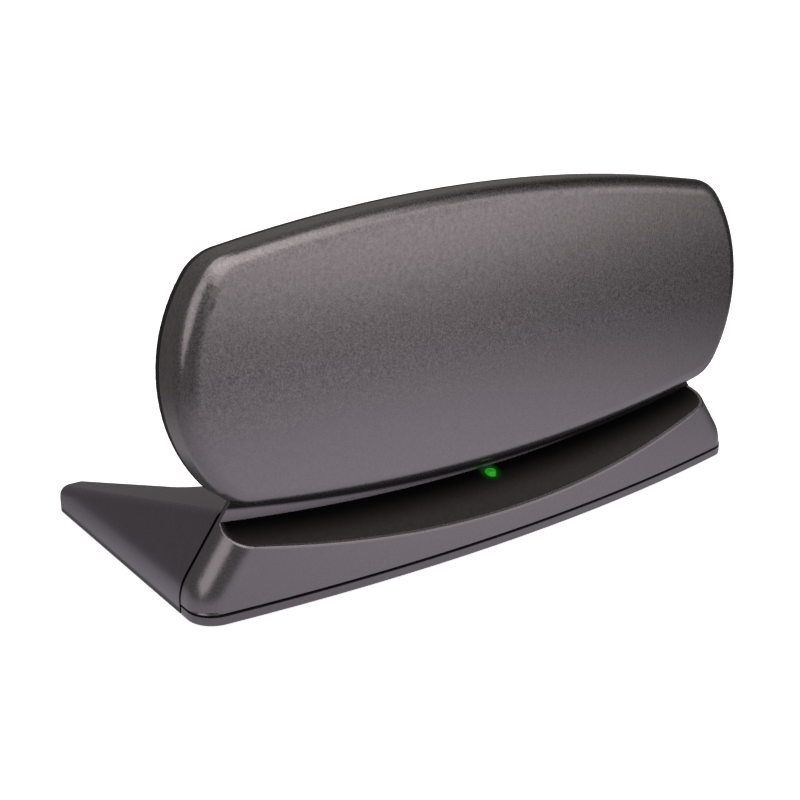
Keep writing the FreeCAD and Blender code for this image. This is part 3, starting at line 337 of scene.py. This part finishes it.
# Tones go to the picture as they are, with no film curve.
bpy.context.scene.view_settings.view_transform = "Standard"

# %% [markdown]
# ## Finishes
#
# Each finish is a Principled shader whose colour, roughness and bump follow noise in Object
# coordinates. UV maps would have to be unwrapped for every solid, but the objects sit at the origin
# in metres, so here a noise scale of 2500 makes grains of 0.4 mm on every piece, whatever its size.

# %% Helpers for finishes
BLACK = (0.001, 0.001, 0.001)


def new_finish(name, colour, roughness, metallic=0.0):
    """Material with a Principled shader set to a plain start; returns its tree and shader too."""
    finish = bpy.data.materials.new(name)
    finish.use_nodes = True
    shader = finish.node_tree.nodes["Principled BSDF"]
    shader.inputs["Base Color"].default_value = (*colour, 1)
    shader.inputs["Roughness"].default_value = roughness
    shader.inputs["Metallic"].default_value = metallic
    return finish, finish.node_tree, shader


def grain(tree, size, detail=2.0, stretch=(1, 1, 1)):
    """Noise in Object coordinates whose features are about size metres wide."""
    noise = tree.nodes.new("ShaderNodeTexNoise")
    noise.inputs["Scale"].default_value = 1 / size
    noise.inputs["Detail"].default_value = detail
    tree.links.new(object_place(tree, stretch), noise.inputs["Vector"])
    return noise.outputs["Fac"]


def add_bump(tree, shader, height, depth):
    """Bump of a depth in metres from a height socket; a second one builds on the first."""
    node = tree.nodes.new("ShaderNodeBump")
    node.inputs["Distance"].default_value = depth
    tree.links.new(height, node.inputs["Height"])
    for link in shader.inputs["Normal"].links:
        tree.links.new(link.from_socket, node.inputs["Normal"])
    tree.links.new(node.outputs["Normal"], shader.inputs["Normal"])


def shade(colour, factor):
    """A colour made lighter or darker."""
    return tuple(c * factor for c in colour)


def cover(finish, amount, colour):
    """Blends a finish's colour towards another colour, or socket, where the amount socket is 1."""
    tree = finish.node_tree
    socket = tree.nodes["Principled BSDF"].inputs["Base Color"]
    tree.links.new(blend_colours(tree, amount, socket.links[0].from_socket, colour), socket)


print("finish helpers ready")

# %% [markdown]
# ## Gunmetal paint
#
# The panel and the base share a satin paint full of tiny metal flakes. Their tone varies at random,
# but how strongly it shows is painted sparkle: high on the panel the flakes glint, and low down,
# where the paint reflects the bright table, they run together into a smooth tone. A cell texture would
# give flakes with sharp borders, too coarse for satin. Two noises, one of about half a millimetre and
# one of about a millimetre and a half, stay soft, and their contrast rises with height.

# %% Flake paint
SMOOTH_BELOW, SPARKLE_ABOVE, SMOOTH_SHARE = 0.052, 0.078, 0.25
FLAKE_SIZE, FLAKE_SWING, FLAKE_DEPTH = 0.0006, 0.32, 0.000012
CLUSTER_SIZE, CLUSTER_SWING = 0.0016, 0.18
FLAKE_ROUGHNESS = 0.04


def flake_paint(name, colour, roughness, metallic, speckle):
    """Metallic paint: dark and light flakes around a colour, their painted sparkle calmer below
    SMOOTH_BELOW metres.
    """
    finish, tree, shader = new_finish(name, colour, roughness, metallic)
    # Painted sparkle: the flakes' contrast falls to SMOOTH_SHARE below SMOOTH_BELOW, where the paint
    # reflects the bright table.
    painted_sparkle = spread(tree, axis_value(tree, "Z"), SMOOTH_SHARE, 1, SMOOTH_BELOW, SPARKLE_ABOVE, smooth=True)
    fine = grain(tree, FLAKE_SIZE, detail=1.0)
    wide = grain(tree, CLUSTER_SIZE)
    both = calculate(tree, "ADD", spread(tree, fine, -FLAKE_SWING, FLAKE_SWING),
                     spread(tree, wide, -CLUSTER_SWING, CLUSTER_SWING))
    factor = calculate(tree, "ADD", calculate(tree, "MULTIPLY", both, painted_sparkle), 0.5)
    toned = blend_colours(tree, factor, shade(colour, 1 - speckle), shade(colour, 1 + speckle))
    tree.links.new(toned, shader.inputs["Base Color"])
    tree.links.new(spread(tree, fine, roughness - FLAKE_ROUGHNESS, roughness + FLAKE_ROUGHNESS),
                   shader.inputs["Roughness"])
    add_bump(tree, shader, fine, FLAKE_DEPTH)
    return finish


# Each paint: its name, its colour, its roughness, how metallic it is and its speckle.
panel_paint = flake_paint("panel_gunmetal", (0.200, 0.179, 0.192), 0.27, 0.94, 0.30)
finishes = {
    "front_plastic": flake_paint("satin_gunmetal", (0.186, 0.166, 0.180), 0.27, 0.94, 0.18),
    "shell_plastic": flake_paint("dark_gunmetal", (0.170, 0.147, 0.176), 0.30, 0.94, 0.25),
    "plate_plastic": flake_paint("plate_gunmetal", (0.150, 0.134, 0.146), 0.34, 0.90, 0.25),
}
print("flake paints", panel_paint.name, [finish.name for finish in finishes.values()])

# %% [markdown]
# ## The seam between the base's shells
#
# The base's front and rear shells meet in a gap less than a millimetre wide, and no light comes back
# out of such a gap, so it is a black line. The glowing floor shines into it here, and a wider
# gap would be untrue to the solids. So the paint is darkened beside the gap: fully at its two edges,
# and not at all half a millimetre further on. The gap's place is read from the two solids.

# %% Shade in the seam
SEAM_MIDDLE = (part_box("base_front_shell")[1][1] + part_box("base_rear_shell")[0][1]) / 2
SEAM_INNER, SEAM_OUTER = 0.00045, 0.00095


def shade_seam(finish):
    """Darkens the two edges where the base's front and rear shells meet."""
    tree = finish.node_tree
    away = calculate(tree, "ABSOLUTE", calculate(tree, "SUBTRACT", axis_value(tree, "Y"), SEAM_MIDDLE), 0)
    cover(finish, spread(tree, away, 1, 0, SEAM_INNER, SEAM_OUTER, smooth=True), BLACK)


for slot in ("front_plastic", "shell_plastic"):
    shade_seam(finishes[slot])
print("seam at y =", round(SEAM_MIDDLE, 5))

# %% [markdown]
# ## The rear shell's lowest edge
#
# The rear shell and its legs end just above the table, and there the edge lies in its own shadow. A
# dark floor would show that by itself, but a white one shines back. The paint of the lowest millimetre
# or two is darkened instead, by its height alone, so the line is there from every side.

# %% Shade along the rear shell's lowest edge
EDGE_DARK, EDGE_CLEAR, EDGE_SHARE = 0.0021, 0.0030, 0.95

shell_height = axis_value(finishes["shell_plastic"].node_tree, "Z")
edge_shade = spread(finishes["shell_plastic"].node_tree, shell_height, EDGE_SHARE, 0,
                    EDGE_DARK, EDGE_CLEAR, smooth=True)
cover(finishes["shell_plastic"], edge_shade, BLACK)
print("edge dark below", EDGE_DARK)

# %% [markdown]
# ## The strip under the panel
#
# Behind the trough an upright strip of the base shows under the panel, and the panel's belly shades
# it. A lamp that drew this shade would draw others on the face too. The belly's lower edge is close
# to a parabola, so the shade on the strip is worked out from that curve.

# %% Shade on the strip under the panel
STRIP_WAY, STRIP_TURNED, STRIP_SQUARE, STRIP_PLACE = (0, -1, 0), 0.95, 0.98, -0.0413
BELLY_LOW, BELLY_BEND, BELLY_MIDDLE = 0.0231, 0.86, 0.008
UNDER_CLEAR, UNDER_DARK, UNDER_SHARE = 0.0019, 0.0006, 0.95
RIGHT_CLEAR, RIGHT_DARK, RIGHT_SHARE = 0.012, 0.050, 0.9


def shade_strip(finish):
    """Darkens the upright strip of the base where the panel's belly hangs over it.

    The shade's edge follows the belly, z = low + bend (x - middle)^2, and to the right of the middle
    the whole strip grows dark.
    """
    tree = finish.node_tree
    upright = spread(tree, facing_way(tree, STRIP_WAY), 0, 1, STRIP_TURNED, STRIP_SQUARE)
    on_strip = calculate(tree, "MULTIPLY", upright,
                         calculate(tree, "GREATER_THAN", axis_value(tree, "Y"), STRIP_PLACE))
    across = calculate(tree, "SUBTRACT", axis_value(tree, "X"), BELLY_MIDDLE)
    belly = calculate(tree, "MULTIPLY", calculate(tree, "MULTIPLY", across, across), BELLY_BEND)
    below = calculate(tree, "SUBTRACT", calculate(tree, "ADD", belly, BELLY_LOW), axis_value(tree, "Z"))
    under = spread(tree, below, 0, UNDER_SHARE, UNDER_CLEAR, UNDER_DARK, smooth=True)
    right = spread(tree, axis_value(tree, "X"), 0, RIGHT_SHARE, RIGHT_CLEAR, RIGHT_DARK, smooth=True)
    cover(finish, calculate(tree, "MULTIPLY", calculate(tree, "MAXIMUM", under, right), on_strip), BLACK)


shade_strip(finishes["front_plastic"])
print("strip shaded from x =", RIGHT_CLEAR)

# %% [markdown]
# ## The crown of the panel's face
#
# The face is flat in the solid. A moulded face is crowned by a millimetre or two, which hardly shows
# in its outline but shows well in its reflections. The solids aren't edited here, so the crown is a
# height worked out in metres, and a Bump node tilts the reflections by its slope.

# %% Crown
FACE_UP, FACE_MIDDLE, FACE_REACH = (0, 0.070, 0.998), 0.0733, 0.045
CROWN_SLOPE, CROWN_SWELL = math.radians(3.5), math.radians(2.2)


def crown(finish):
    """Bends the mirror image of a flat face as a slight crown would.

    With s the height along the face from its middle, the crown is
    -slope s^2 / (2 reach) - swell s^3 / (3 reach^2), so at s = reach the face leans by slope + swell.
    """
    tree = finish.node_tree
    height = measure(tree, "DOT_PRODUCT", object_place(tree), FACE_UP)
    raised = calculate(tree, "SUBTRACT", height, FACE_MIDDLE)
    swell = calculate(tree, "MULTIPLY", raised, -CROWN_SWELL / (3 * FACE_REACH ** 2))
    bend = calculate(tree, "ADD", swell, -CROWN_SLOPE / (2 * FACE_REACH))
    bow = calculate(tree, "MULTIPLY", calculate(tree, "MULTIPLY", raised, raised), bend)
    add_bump(tree, tree.nodes["Principled BSDF"], bow, 1.0)


crown(panel_paint)
print("crown leans by", round(math.degrees(CROWN_SLOPE + CROWN_SWELL), 1), "degrees at its top")

# %% [markdown]
# ## Moulded plastics
#
# The rear cover, the trough and the small mouldings are bare plastic with an eroded grain. A plain
# colour would look like a drawing, so the roughness and the bump follow one fine noise, and the
# colour follows a wider one, as pigment does.

# %% Moulded plastics
MOTTLE_RATIO, MOTTLE_DETAIL = 3.2, 3.0
POLISHED_BY, DULLED_BY = 0.05, 0.07


def moulded(name, colour, roughness, grain_size, grain_depth, contrast, gloss=0.5):
    """Grained plastic: roughness and bump vary with a fine grain, the colour with a wider mottle."""
    finish, tree, shader = new_finish(name, colour, roughness)
    shader.inputs["Specular IOR Level"].default_value = gloss
    fine = grain(tree, grain_size)
    mottle = grain(tree, grain_size * MOTTLE_RATIO, MOTTLE_DETAIL)
    toned = blend_colours(tree, spread(tree, mottle, 0, 1), shade(colour, 1 - contrast),
                          shade(colour, 1 + contrast))
    tree.links.new(toned, shader.inputs["Base Color"])
    tree.links.new(spread(tree, fine, roughness - POLISHED_BY, roughness + DULLED_BY),
                   shader.inputs["Roughness"])
    add_bump(tree, shader, fine, grain_depth)
    return finish


# Each plastic: its name, colour, roughness, size and depth of grain, contrast and, if dull, its gloss.
plastics = {
    "rear_plastic": moulded("rear_black", (0.0065, 0.006, 0.0065), 0.55, 0.0005, 0.00004, 0.2, 0.2),
    "trough_plastic": moulded("trough_black", (0.029, 0.0250, 0.0245), 0.5, 0.0004, 0.00002, 0.15, 0.12),
    "foot_rubber": moulded("foot_rubber", (0.013, 0.013, 0.013), 0.85, 0.0006, 0.00008, 0.25),
    "connector_insulator": moulded("insulator_white", (0.72, 0.71, 0.67), 0.45, 0.0007, 0.00002, 0.04),
    "lead_jacket": moulded("lead_jacket", (0.014, 0.014, 0.015), 0.5, 0.0006, 0.00003, 0.2),
    "circuit_board": moulded("solder_mask", (0.012, 0.085, 0.028), 0.35, 0.0009, 0.00002, 0.15),
}
finishes.update(plastics)
print("moulded finishes", sorted(plastics))

# %% [markdown]
# ## The panel's back
#
# The rear cover is one moulding: its edge is nearly black, and its flat back is a little lighter with
# a coarser pebble. Two material slots would need a selection of faces on a solid that isn't edited,
# so one finish asks which way the surface faces.

# %% The panel's back, lighter than its dark edge
BACK_WAY, BACK_TURNED, BACK_SQUARE = (0, FACE_UP[2], -FACE_UP[1]), 0.9, 0.99
BACK_TONE, BACK_CONTRAST, PEBBLE_SIZE = (0.030, 0.028, 0.029), 0.25, 0.0011

tree = finishes["rear_plastic"].node_tree
on_back = spread(tree, facing_way(tree, BACK_WAY), 0, 1, BACK_TURNED, BACK_SQUARE)
pebble = grain(tree, PEBBLE_SIZE, detail=1.0)
pebbled = blend_colours(tree, spread(tree, pebble, 0, 1), shade(BACK_TONE, 1 - BACK_CONTRAST),
                        shade(BACK_TONE, 1 + BACK_CONTRAST))
cover(finishes["rear_plastic"], on_back, pebbled)
print("back tone", BACK_TONE)

# %% [markdown]
# ## Metals
#
# The radiators are rolled sheet, the connector is nickel plated and the screws are dark zinc. Rolling
# and turning leave fine lines in one direction. Anisotropic gloss could hint at them, but noise that
# is stretched along one axis shows them close up as well.

# %% Metals
DULL_SHADE, SMOOTHER, ROUGHER = 0.86, 0.75, 1.3
SCRATCH_DETAIL, SCRATCH_DEPTH = 4.0, 0.000006


def metal(name, colour, roughness, stretch=(1, 1, 1), grain_size=0.0008):
    """Metal with fine scratches: noise stretched along one axis changes its roughness and bump."""
    finish, tree, shader = new_finish(name, colour, roughness, 1.0)
    scratch = grain(tree, grain_size, SCRATCH_DETAIL, stretch)
    toned = blend_colours(tree, spread(tree, scratch, 0, 1), shade(colour, DULL_SHADE), colour)
    tree.links.new(toned, shader.inputs["Base Color"])
    tree.links.new(spread(tree, scratch, roughness * SMOOTHER, roughness * ROUGHER),
                   shader.inputs["Roughness"])
    add_bump(tree, shader, scratch, SCRATCH_DEPTH)
    return finish


# Each metal: its name, colour, roughness, the stretch of its scratches and their size.
metals = {
    "radiator_sheet": metal("rolled_aluminium", (0.78, 0.79, 0.8), 0.35, (0.08, 1, 1)),
    "can_metal": metal("tinned_sheet", (0.72, 0.72, 0.69), 0.3, (0.1, 1, 1)),
    "connector_metal": metal("nickel_plate", (0.68, 0.66, 0.61), 0.22, (1, 0.2, 1), 0.0005),
    "contact_brass": metal("plated_brass", (0.8, 0.58, 0.25), 0.25, (1, 0.2, 1), 0.0005),
    "screw_steel": metal("dark_zinc", (0.16, 0.16, 0.165), 0.38, (1, 1, 1), 0.0004),
}
finishes.update(metals)
print("metals", sorted(metals))

# %% [markdown]
# ## The green light
#
# The lens is a short rod of green resin that a diode lights from below. Light through real resin
# takes many samples to come out clean, and the lens glows evenly and not very brightly, so a
# weak emission does the same work.

# %% Light lens and diode resin
GREEN = (0.012, 0.42, 0.012)
LENS_ROUGHNESS, CLOUD_SIZE, CLOUD_SWING = 0.25, 0.0016, 0.3


def lit_lens(name, colour, strength):
    """Clear coloured resin that glows, a little unevenly."""
    finish, tree, shader = new_finish(name, colour, LENS_ROUGHNESS)
    shader.inputs["Emission Color"].default_value = (*GREEN, 1)
    cloud = grain(tree, CLOUD_SIZE, detail=1.0)
    tree.links.new(spread(tree, cloud, strength * (1 - CLOUD_SWING), strength * (1 + CLOUD_SWING)),
                   shader.inputs["Emission Strength"])
    return finish


finishes["light_lens"] = lit_lens("green_lens", (0.01, 0.12, 0.012), 0.6)
finishes["diode_resin"] = lit_lens("diode_resin", (0.05, 0.5, 0.08), 2.0)
print("finishes", len(finishes))

# %% [markdown]
# ## Painted shade in the trough and the light's painted halo
#
# The trough's colour carries a painted shade: it is blackest at the back, under the panel, and turns
# to a very dark grey towards its front edge. Close around the lens its plastic is lit green by the lens.
# A lamp in the lens would be slow and noisy for so small a halo, so the trough's finish glows a little,
# a painted halo, and the glow dies out a few millimetres from the lens, whose place is read from its solid.

# %% Shade and halo on the trough
TROUGH_REAR, TROUGH_FRONT = -0.0415, -0.0550
HALO_INNER, HALO_OUTER, HALO_GLOW = 0.0018, 0.0052, 0.12

lens_low, lens_high = (Vector(corner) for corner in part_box("light_window"))
lens_top = Vector(((lens_low.x + lens_high.x) / 2, (lens_low.y + lens_high.y) / 2, lens_high.z))
tree = finishes["trough_plastic"].node_tree
# Painted shade: the trough's colour goes to black towards the back, under the panel.
painted_trough_shade = spread(tree, axis_value(tree, "Y"), 1, 0, TROUGH_REAR, TROUGH_FRONT, smooth=True)
cover(finishes["trough_plastic"], painted_trough_shade, BLACK)
trough_shader = tree.nodes["Principled BSDF"]
trough_shader.inputs["Emission Color"].default_value = (*GREEN, 1)
# Painted halo: the trough's plastic glows green close around the lens.
from_lens = measure(tree, "DISTANCE", object_place(tree), lens_top)
tree.links.new(spread(tree, from_lens, HALO_GLOW, 0, HALO_INNER, HALO_OUTER, smooth=True),
               trough_shader.inputs["Emission Strength"])
print("lens at", tuple(round(c, 4) for c in lens_top))

# %% [markdown]
# ## Dressing the solids
#
# The record names a material slot for each solid, so one loop can dress them all, and a new solid
# would be dressed by itself. Only the panel's front cover differs from its slot: it wears the paint
# with the crown.

# %% Dress every solid in its slot's finish
own_finish = {"panel_front_cover": panel_paint}
for part in record["subparts"]:
    solid = nodes[part["node"]]
    solid.data.materials.clear()
    solid.data.materials.append(own_finish.get(part["node"], finishes[part["material_slot"]]))
print("dressed", len(record["subparts"]), "solids")

# %% [markdown]
# ## The aerial connector's thread
#
# The aerial lead screws onto a fine thread of 32 turns to the inch. The solid is a plain barrel, and
# a Screw modifier could wind a thread round it, but the two would not be one skin. So the connector
# is made again here as one surface: a profile of radii is carried round the axis, and on the barrel
# the radius also falls and rises with the angle, which turns rings into a helix. The barrel's size
# comes from the record's mount, and its place from the solid.

# %% Sizes of the connector
body_low, body_high = (Vector(corner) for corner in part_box("f_connector_body"))
barrel = next(mount["dims"] for mount in record["mounts"] if mount["name"] == "f_connector")
AXIS_HEIGHT = (body_low.z + body_high.z) / 2
BLOCK_HALF = (body_high.x - body_low.x) / 2
BLOCK_DEPTH, COLLAR_RADIUS = 0.0100, 0.0055
BARREL_RADIUS, BARREL_LENGTH = barrel["r_mm"] * MM, barrel["length_mm"] * MM
RELIEF_RADIUS, RELIEF_WIDTH = 0.0044, 0.0008
BORE_RADIUS, BORE_DEPTH = 0.0035, 0.0110
INCH = 0.0254
PITCH, THREAD_DEPTH, RUN_OUT = INCH / 32, 0.00042, 0.4
TURN_STEPS, ROWS_PER_PITCH = 96, 14
print("barrel of", 2 * BARREL_RADIUS, "by", BARREL_LENGTH)


# %% Threaded connector
def connector_surface():
    """Points of the connector, row by row along its profile and round the axis in each row.

    On the block a row's radius is half / max(|cos a|, |sin a|), a square. On the barrel it is
    radius - depth * |2 frac(y / pitch - a / 2 pi) - 1|, a ridge that climbs by a pitch each turn,
    and depth fades to full from both ends of the barrel so that the thread runs out.
    """
    angle = np.arange(TURN_STEPS) * 2 * np.pi / TURN_STEPS
    square = BLOCK_HALF / np.maximum(np.abs(np.cos(angle)), np.abs(np.sin(angle)))
    ring = np.ones(TURN_STEPS)
    front, block_end, end = body_low.y, body_low.y + BLOCK_DEPTH, body_high.y
    barrel_start = end - BARREL_LENGTH
    relief_start = barrel_start - RELIEF_WIDTH
    along = np.linspace(barrel_start, end, round(BARREL_LENGTH / PITCH * ROWS_PER_PITCH))[:, None]
    phase = along / PITCH - angle[None, :] / (2 * np.pi)
    ridge = np.abs(2 * (phase - np.floor(phase)) - 1)
    fade = np.clip((along - barrel_start) / PITCH, 0, 1) * np.clip((end - along) / PITCH + RUN_OUT, 0, 1)
    thread = BARREL_RADIUS - THREAD_DEPTH * ridge * fade
    before = [(front, 0 * ring), (front, square), (block_end, square), (block_end, COLLAR_RADIUS * ring),
              (relief_start, COLLAR_RADIUS * ring), (relief_start, RELIEF_RADIUS * ring),
              (barrel_start, RELIEF_RADIUS * ring)]
    after = [(end, BORE_RADIUS * ring), (end - BORE_DEPTH, BORE_RADIUS * ring),
             (end - BORE_DEPTH, 0 * ring)]
    radius = np.concatenate([[r for _, r in before], thread, [r for _, r in after]])
    place = np.concatenate([[y for y, _ in before], along[:, 0], [y for y, _ in after]])[:, None]
    return np.stack([radius * np.cos(angle), place + 0 * radius, AXIS_HEIGHT + radius * np.sin(angle)], -1)


surface = connector_surface()
connector = link_mesh("threaded_connector", surface.reshape(-1, 3),
                      grid_faces(len(surface), TURN_STEPS, True)[:, ::-1])
print("thread of", round(BARREL_LENGTH / PITCH, 1), "turns,", len(connector.data.polygons), "faces")

# %% [markdown]
# ## Closing and placing the connector
#
# Where the profile starts and ends on the axis, a whole ring of points lies in one place, and the
# surface is open there by edges of no length. Merging the points closes it. Smooth shading suits the
# round barrel, and a limit on the angle keeps the block's edges and the thread's ends crisp.

# %% Close the poles, shade it and put it in place of the plain body
MERGE_REACH, CRISP_ABOVE = 1e-7, math.radians(35)

shell = bmesh.new()
shell.from_mesh(connector.data)
bmesh.ops.remove_doubles(shell, verts=shell.verts, dist=MERGE_REACH)
print("open edges", sum(not edge.is_manifold for edge in shell.edges))
shell.to_mesh(connector.data)
shell.free()
connector.data.polygons.foreach_set("use_smooth", np.ones(len(connector.data.polygons), bool))
connector.data.set_sharp_from_angle(angle=CRISP_ABOVE)
connector.data.materials.append(finishes["connector_metal"])
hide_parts("f_connector_body")
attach(connector, "root")
